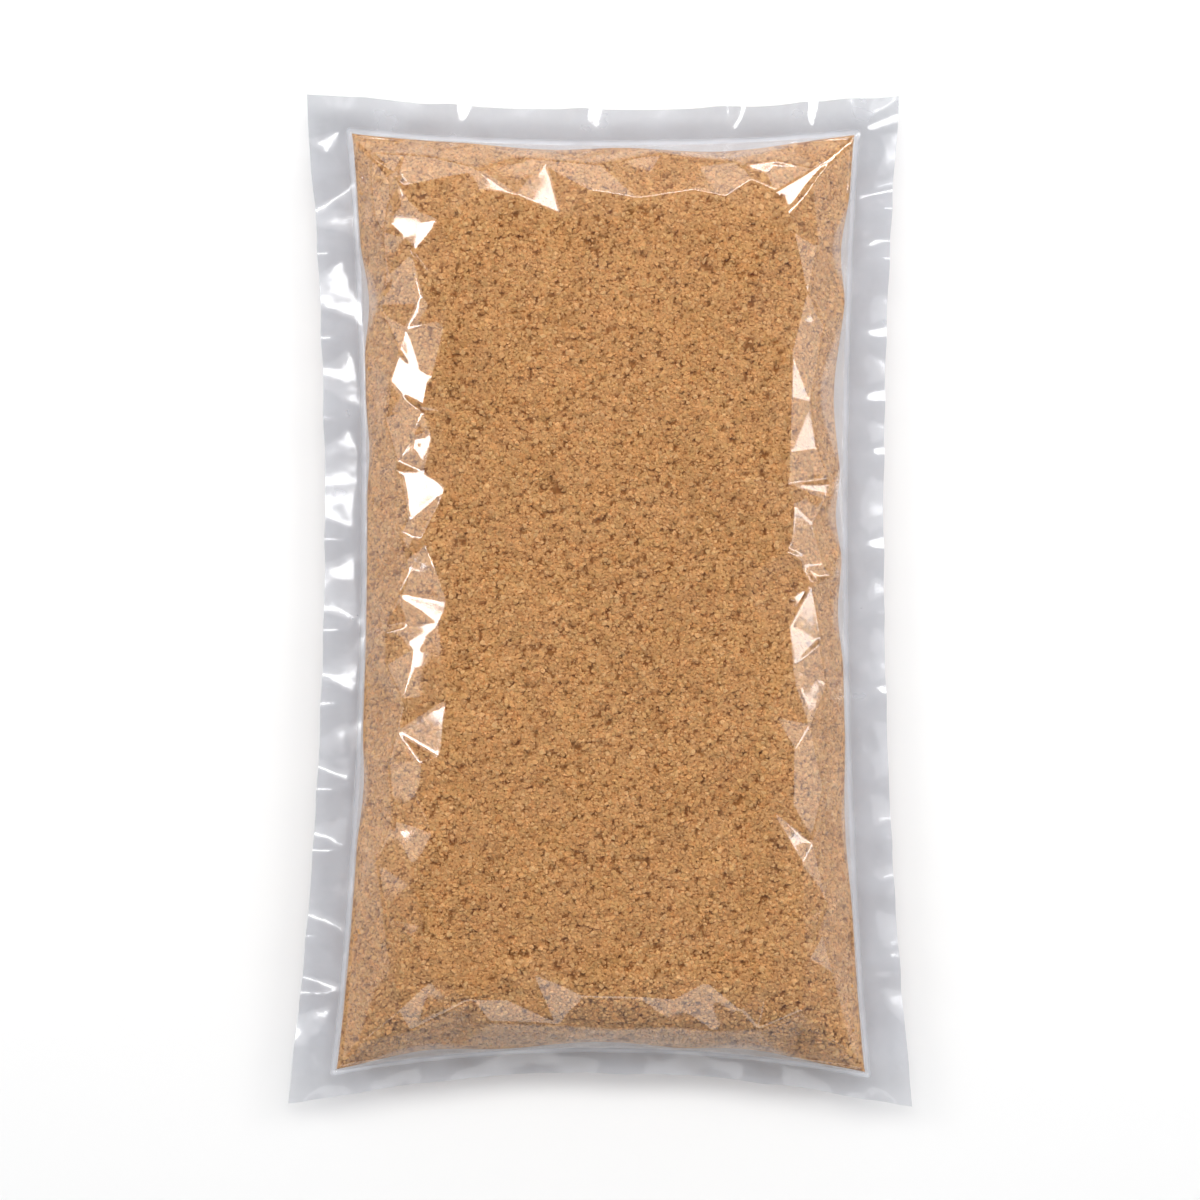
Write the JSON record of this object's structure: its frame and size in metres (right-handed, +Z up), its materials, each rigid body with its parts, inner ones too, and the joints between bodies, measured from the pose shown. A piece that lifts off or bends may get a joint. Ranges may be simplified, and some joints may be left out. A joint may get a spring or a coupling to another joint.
{
  "type": "bag of breading mix",
  "caption": "Clear pillow pouch full of golden-brown breading mix, welded along every side, lying flat, with a thin pleated rim round a plump body that thins towards its corners.",
  "frame": {"origin": "middle of the bag's footprint, on the surface it lies on", "axes": "+Z up out of the shown side, +Y along the bag towards the end with the wider welded rim, +X to the right"},
  "size_m": [0.2508, 0.4072, 0.047],
  "materials": {
    "breading_mix": "matte",
    "clear_film": "gloss"
  },
  "bodies": {
    "root": {"sealed_bag": "breading_mix"}
  },
  "joints": []
}
